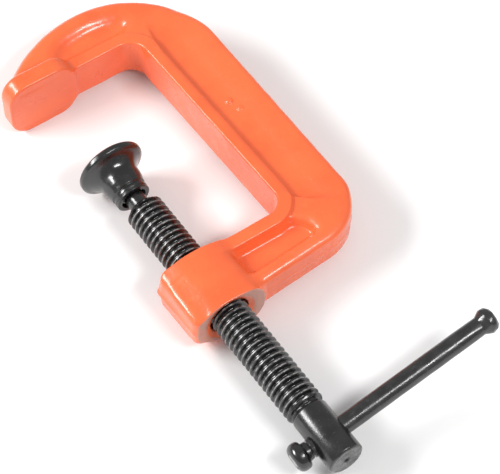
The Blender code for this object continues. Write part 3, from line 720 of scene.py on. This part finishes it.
class Nodes:
    """A short way to write a node tree: every call makes a node and returns its output socket."""

    def __init__(self, name):
        self.material = bpy.data.materials.new(name)
        self.material.use_nodes = True
        self.tree = self.material.node_tree
        self.shader = self.tree.nodes["Principled BSDF"]
        self.place = self.make("ShaderNodeTexCoord").outputs["Object"]

    def make(self, kind):
        return self.tree.nodes.new(kind)

    def put(self, socket, value):
        if isinstance(value, bpy.types.NodeSocket):
            self.tree.links.new(value, socket)
        elif isinstance(value, (tuple, list)) and len(value) == 3 and socket.type == "RGBA":
            socket.default_value = (*value, 1.0)
        else:
            socket.default_value = value

    def noise(self, scale, detail=3.0, roughness=0.5, stretch=None):
        node = self.make("ShaderNodeTexNoise")
        place = self.place
        if stretch:
            mapping = self.make("ShaderNodeMapping")
            mapping.inputs["Scale"].default_value = stretch
            self.put(mapping.inputs["Vector"], place)
            place = mapping.outputs["Vector"]
        self.put(node.inputs["Vector"], place)
        node.inputs["Scale"].default_value = scale
        node.inputs["Detail"].default_value = detail
        node.inputs["Roughness"].default_value = roughness
        return node.outputs["Fac"]

    def math(self, operation, *values, clamp=False):
        node = self.make("ShaderNodeMath")
        node.operation = operation
        node.use_clamp = clamp
        for socket, value in zip(node.inputs, values):
            self.put(socket, value)
        return node.outputs[0]

    def span(self, value, low, high, to_low=0.0, to_high=1.0):
        node = self.make("ShaderNodeMapRange")
        node.interpolation_type = "SMOOTHSTEP"
        for name, given in (("Value", value), ("From Min", low), ("From Max", high),
                            ("To Min", to_low), ("To Max", to_high)):
            self.put(node.inputs[name], given)
        return node.outputs["Result"]

    def mix(self, share, first, second):
        node = self.make("ShaderNodeMix")
        node.data_type = "RGBA"
        self.put(node.inputs["Factor"], share)
        self.put(node.inputs[6], first)
        self.put(node.inputs[7], second)
        return node.outputs[2]

    def bump(self, height, strength, distance, below=None):
        node = self.make("ShaderNodeBump")
        self.put(node.inputs["Height"], height)
        node.inputs["Strength"].default_value = strength
        node.inputs["Distance"].default_value = distance
        if below is not None:
            self.put(node.inputs["Normal"], below)
        return node.outputs["Normal"]

    def split(self, vector):
        node = self.make("ShaderNodeSeparateXYZ")
        self.put(node.inputs[0], vector)
        return node.outputs

    def set(self, **values):
        for name, value in values.items():
            self.put(self.shader.inputs[name.replace("_", " ")], value)
        return self.material


def enamel():
    """Glossy orange enamel with a slight orange peel over the cast surface."""
    n = Nodes("orange_enamel")
    y = n.split(n.place)[1]
    cloud = n.noise(70, 3)
    fine = n.noise(420, 4, 0.6)
    base = n.mix(n.span(cloud, 0.35, 0.65), (0.87, 0.130, 0.037), (0.93, 0.156, 0.046))
    base = n.mix(n.span(fine, 0.55, 0.8, 0.0, 0.35), base, (0.96, 0.205, 0.075))
    # the boss's end is machined, with only a thin veil of paint
    ground = n.span(y, (BOSS_LOW + 0.2) * MM, (BOSS_LOW + 0.08) * MM)
    faced = n.math("MULTIPLY", ground, n.span(n.noise(300, 4), 0.2, 0.6, 0.65, 1.0))
    base = n.mix(faced, base, (0.52, 0.25, 0.19))
    rough = n.span(n.noise(160, 4), 0.3, 0.7, 0.25, 0.37)
    rough = n.math("ADD", rough, n.math("MULTIPLY", faced, 0.2))
    peel = n.bump(n.noise(650, 2), 0.22, 0.00025)
    grain = n.bump(n.noise(1900, 3, 0.6), 0.16, 0.00012, peel)
    pits = n.bump(n.span(n.noise(900, 1), 0.24, 0.34), 0.25, 0.0001, grain)
    n.set(Base_Color=base, Roughness=rough, Normal=pits)
    n.set(Specular_IOR_Level=0.5, Coat_Weight=0.5, Coat_Roughness=0.12, Coat_IOR=1.45)
    return n.material


def black_oxide(name, wear_and_highlight=None, tone=(0.005, 0.005, 0.0052)):
    """Blackened steel; the function passed for wear gives the share of the surface painted bright grey, for
    rubbed wear and, on the thread's crests, also a painted highlight.
    """
    n = Nodes(name)
    cloud = n.noise(260, 4, 0.6)
    light = tuple(2.6 * c for c in tone)
    base = n.mix(n.span(cloud, 0.35, 0.75), tone, light)
    specks = n.span(n.noise(2000, 2, 0.5), 0.64, 0.76, 0.0, 0.18)
    base = n.mix(specks, base, (0.16, 0.16, 0.16))
    rough = n.span(n.noise(380, 4), 0.3, 0.7, 0.17, 0.29)
    if wear_and_highlight:
        # the bright grey is rubbed wear, and on the screw's crests also a painted highlight
        share = wear_and_highlight(n)
        base = n.mix(share, base, (0.40, 0.39, 0.38))
        rough = n.math("ADD", rough, n.math("MULTIPLY", share, 0.06))
    drawn = n.bump(n.noise(900, 3, 0.6), 0.24, 0.0001)
    pits = n.bump(n.noise(2100, 2), 0.30, 0.00006, drawn)
    n.set(Base_Color=base, Roughness=rough, Normal=pits, Specular_IOR_Level=0.9)
    return n.material


def screw_wear_and_highlight(n):
    """Thin bright grey lines on the thread's crests, partly rubbed wear and partly a painted highlight, and
    the turned end face.
    """
    x, y, z = n.split(n.place)
    radius = n.math("SQRT", n.math("ADD", n.math("MULTIPLY", x, x), n.math("MULTIPLY", z, z)))
    # painted highlight along the crests, mixed with their rubbed wear
    crest_wear_and_highlight = n.span(radius, (CREST_R - 0.06) * MM, (CREST_R - 0.01) * MM)
    patchy = n.span(n.noise(900, 4, 0.6), 0.38, 0.62, 0.1, 0.65)
    crest_wear_and_highlight = n.math("MULTIPLY", crest_wear_and_highlight, patchy)
    end = n.span(y, (HEAD_LOW + 0.25) * MM, (HEAD_LOW + 0.08) * MM)
    end = n.math("MULTIPLY", end, n.span(n.noise(700, 3), 0.3, 0.7, 0.06, 0.26))
    return n.math("ADD", crest_wear_and_highlight, end, clamp=True)


def knob_wear(n):
    """The riveted end in the knob's middle, and a faint rub round it."""
    x, y, z = n.split(n.place)
    along = n.math("ADD", n.math("MULTIPLY", x, math.cos(BAR_TILT)),
                   n.math("MULTIPLY", z, math.sin(BAR_TILT)))
    across = n.math("SUBTRACT", n.math("MULTIPLY", z, math.cos(BAR_TILT)),
                    n.math("MULTIPLY", x, math.sin(BAR_TILT)))
    up = n.math("SUBTRACT", y, BAR_Y * MM)
    radius = n.math("SQRT", n.math("ADD", n.math("MULTIPLY", across, across), n.math("MULTIPLY", up, up)))
    end = n.span(along, (KNOB_END + 0.5) * MM, (KNOB_END + 0.2) * MM)
    spot = n.span(radius, 1.95 * MM, 1.55 * MM)
    patchy = n.span(n.noise(800, 3), 0.3, 0.6, 0.45, 1.0)
    return n.math("MULTIPLY", n.math("MULTIPLY", end, spot), patchy)


def bar_wear(n):
    """Faint rubbed streaks along the bar, and its riveted end."""
    rub = n.span(n.noise(500, 4, 0.6, (0.25, 1, 1)), 0.58, 0.75, 0.0, 0.07)
    return n.math("ADD", rub, knob_wear(n), clamp=True)


def spring_steel():
    """Bright drawn wire."""
    n = Nodes("spring_steel")
    tone = n.mix(n.noise(400, 3), (0.30, 0.30, 0.31), (0.42, 0.42, 0.43))
    rough = n.span(n.noise(900, 3), 0.3, 0.7, 0.25, 0.4)
    n.set(Base_Color=tone, Roughness=rough, Metallic=1.0, Normal=n.bump(n.noise(2500, 2), 0.2, 0.00005))
    return n.material


def paper():
    """The pale floor."""
    n = Nodes("pale_floor")
    tone = n.mix(n.noise(9, 2), (0.93, 0.93, 0.93), (0.95, 0.95, 0.95))
    n.set(Base_Color=tone, Roughness=0.75, Specular_IOR_Level=0.2)
    return n.material


# ================================================================ assembly

def place(item, body, node, slot, coat):
    """Gives a piece its material and its body, and hides the CAD part that it stands for."""
    item.data.materials.clear()
    item.data.materials.append(coat)
    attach(item, body)
    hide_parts(node)


def build_pieces():
    verts, quads = net(clamp_distance, BOX_LOW, BOX_HIGH, GRID)
    verts = settle(clamp_distance, verts, quads)
    casting = mesh_object("frame_visual", verts, quads)
    place(casting, "frame", "frame", "enamel", enamel())
    oxide = black_oxide("black_oxide_forged")
    place(make_spindle(), "screw", "spindle", "black_oxide", black_oxide("black_oxide_screw", screw_wear_and_highlight))
    place(make_ring(), "feed", "pad_retaining_ring", "spring_steel", spring_steel())
    place(make_pad(), "pad", "swivel_pad", "black_oxide", oxide)
    rubbed = black_oxide("black_oxide_bar", bar_wear, tone=(0.009, 0.009, 0.0092))
    place(make_bar(), "bar", "tommy_bar", "black_oxide", rubbed)
    place(make_knob(), "bar", "tommy_bar_knob", "black_oxide", black_oxide("black_oxide_knob", knob_wear))


def make_floor():
    mesh = bpy.data.meshes.new("floor")
    reach = 3.0
    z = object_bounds()[0].z
    corners = [(-reach, -reach, z), (reach, -reach, z), (reach, reach, z), (-reach, reach, z)]
    mesh.from_pydata(corners, [], [(0, 1, 2, 3)])
    floor = bpy.data.objects.new("floor", mesh)
    bpy.context.collection.objects.link(floor)
    mesh.materials.append(paper())


def softbox(name, spot, aim, size, power):
    """A rectangular light; places and sizes are in metres, the power in watts."""
    data = bpy.data.lights.new(name, "AREA")
    data.shape = "RECTANGLE"
    data.size, data.size_y = size
    data.energy = power
    light = bpy.data.objects.new(name, data)
    light.location = spot
    light.rotation_euler = (Vector(aim) - Vector(spot)).to_track_quat("-Z", "Y").to_euler()
    bpy.context.collection.objects.link(light)


def make_studio():
    world = bpy.data.worlds.new("studio")
    bpy.context.scene.world = world
    world.use_nodes = True
    back = world.node_tree.nodes["Background"]
    back.inputs["Color"].default_value = (1.0, 1.0, 1.0, 1.0)
    back.inputs["Strength"].default_value = 0.42
    aim = (0.02, -0.055, 0.0)
    softbox("key", (-0.47, 0.24, 0.42), aim, (0.42, 0.18), 4.6)
    softbox("front", (0.16, -0.44, 0.54), aim, (0.30, 0.11), 2.4)


def make_camera():
    azimuth = math.radians(-34.57)
    elevation = math.radians(55.17)
    target = Vector((16.87, -64.79, 0.0)) * MM
    distance = 0.514
    back = Vector((math.sin(azimuth) * math.cos(elevation), -math.cos(azimuth) * math.cos(elevation),
                   math.sin(elevation)))
    data = bpy.data.cameras.new("camera")
    data.sensor_fit = "HORIZONTAL"
    data.sensor_width = 36.0
    data.lens = 151.6
    data.clip_start = 0.01
    camera = bpy.data.objects.new("camera", data)
    camera.location = target + back * distance
    camera.rotation_euler = (-back).to_track_quat("-Z", "Y").to_euler()
    bpy.context.collection.objects.link(camera)
    bpy.context.scene.camera = camera
    bpy.context.scene.view_settings.view_transform = "Standard"


build_pieces()
make_floor()
make_studio()
make_camera()
